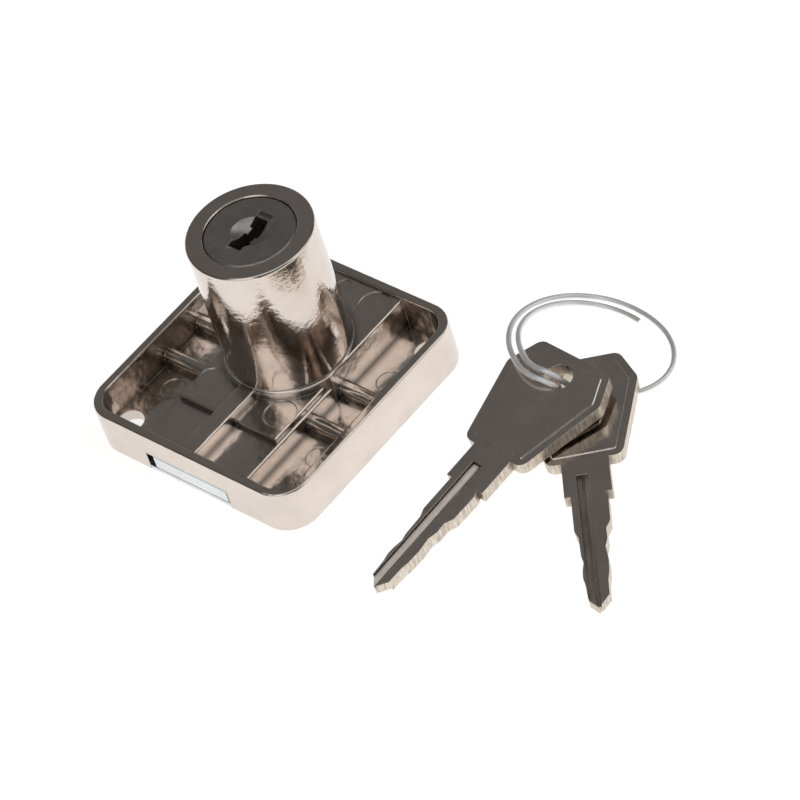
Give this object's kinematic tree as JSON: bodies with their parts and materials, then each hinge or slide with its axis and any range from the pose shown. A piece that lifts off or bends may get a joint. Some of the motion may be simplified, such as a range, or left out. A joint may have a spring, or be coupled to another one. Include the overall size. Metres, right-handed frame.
{
  "type": "drawer lock",
  "caption": "Surface-mounted drawer lock: a ribbed tray with a round barrel, a flat sliding bolt, and keys on a split ring.",
  "frame": {"origin": "where the barrel's axis meets the plane of the casing's back face", "axes": "+Z along the barrel towards the key's side, -Y the way the bolt is thrown"},
  "size_m": [0.0872, 0.0604, 0.0305],
  "materials": {
    "casing_nickel": "nickel plate over die-cast zinc, slightly uneven",
    "plug_nickel": "nickel plate over die-cast zinc",
    "zinc_plate": "zinc-plated pressed steel",
    "bolt_steel": "zinc-plated steel",
    "wafer_brass": "stamped brass",
    "spring_steel": "plain spring steel wire",
    "key_nickel": "nickel-plated stamping with sheared edges",
    "ring_steel": "nickel-plated wire"
  },
  "bodies": {
    "casing": {"casing": "casing_nickel", "back_plate": "zinc_plate"},
    "bolt": {"bolt": "bolt_steel"},
    "plug": {"plug": "plug_nickel", "wafer_spring_1": "spring_steel", "wafer_spring_2": "spring_steel", "wafer_spring_3": "spring_steel", "wafer_spring_4": "spring_steel", "wafer_spring_5": "spring_steel", "wafer_spring_6": "spring_steel", "retaining_spring": "spring_steel"},
    "wafer_1": {"wafer_1": "wafer_brass"},
    "wafer_2": {"wafer_2": "wafer_brass"},
    "wafer_3": {"wafer_3": "wafer_brass"},
    "wafer_4": {"wafer_4": "wafer_brass"},
    "wafer_5": {"wafer_5": "wafer_brass"},
    "wafer_6": {"wafer_6": "wafer_brass"},
    "retaining_wafer": {"retaining_wafer": "wafer_brass"},
    "key_ring": {"key_ring": "ring_steel"},
    "key_a": {"key_a": "key_nickel"},
    "key_b": {"key_b": "key_nickel"}
  },
  "joints": [
    {"name": "plug_turn", "type": "hinge", "parent": "casing", "child": "plug", "pos_m": [0, 0, 0.0185], "axis": [0, 0, 1], "range_deg": [0, 180]},
    {"name": "bolt_slide", "type": "slide", "parent": "casing", "child": "bolt", "axis": [0, -1, 0], "range_m": [0, 0.007]},
    {"name": "wafer_1_slide", "type": "slide", "parent": "plug", "child": "wafer_1", "axis": [0, -1, 0], "range_m": [0, 0.00055], "deforming": ["wafer_spring_1"]},
    {"name": "wafer_2_slide", "type": "slide", "parent": "plug", "child": "wafer_2", "axis": [0, 1, 0], "range_m": [0, 0.00055], "deforming": ["wafer_spring_2"]},
    {"name": "wafer_3_slide", "type": "slide", "parent": "plug", "child": "wafer_3", "axis": [0, -1, 0], "range_m": [0, 0.00055], "deforming": ["wafer_spring_3"]},
    {"name": "wafer_4_slide", "type": "slide", "parent": "plug", "child": "wafer_4", "axis": [0, 1, 0], "range_m": [0, 0.00055], "deforming": ["wafer_spring_4"]},
    {"name": "wafer_5_slide", "type": "slide", "parent": "plug", "child": "wafer_5", "axis": [0, -1, 0], "range_m": [0, 0.00055], "deforming": ["wafer_spring_5"]},
    {"name": "wafer_6_slide", "type": "slide", "parent": "plug", "child": "wafer_6", "axis": [0, 1, 0], "range_m": [0, 0.00055], "deforming": ["wafer_spring_6"]},
    {"name": "retaining_wafer_slide", "type": "slide", "parent": "plug", "child": "retaining_wafer", "axis": [1, 0, 0], "range_m": [0, 0.00065], "deforming": ["retaining_spring"]},
    {"name": "key_ring_lift", "type": "slide", "parent": "casing", "child": "key_ring", "axis": [0, 0, 1], "range_m": [0, 0.03]},
    {"name": "key_a_swing", "type": "hinge", "parent": "key_ring", "child": "key_a", "pos_m": [0.0394, 0.01357, 0.0064], "axis": [-0.0069, -0.1072, 0.9942], "range_deg": [-12, 0]},
    {"name": "key_b_swing", "type": "hinge", "parent": "key_ring", "child": "key_b", "pos_m": [0.0399, 0.01617, 0.00315], "axis": [0.0183, -0.0205, 0.9996], "range_deg": [0, 12]}
  ],
  "couplings": [
    {"joint": "bolt_slide", "follows": "plug_turn", "m_per_rad": 0.002228}
  ]
}
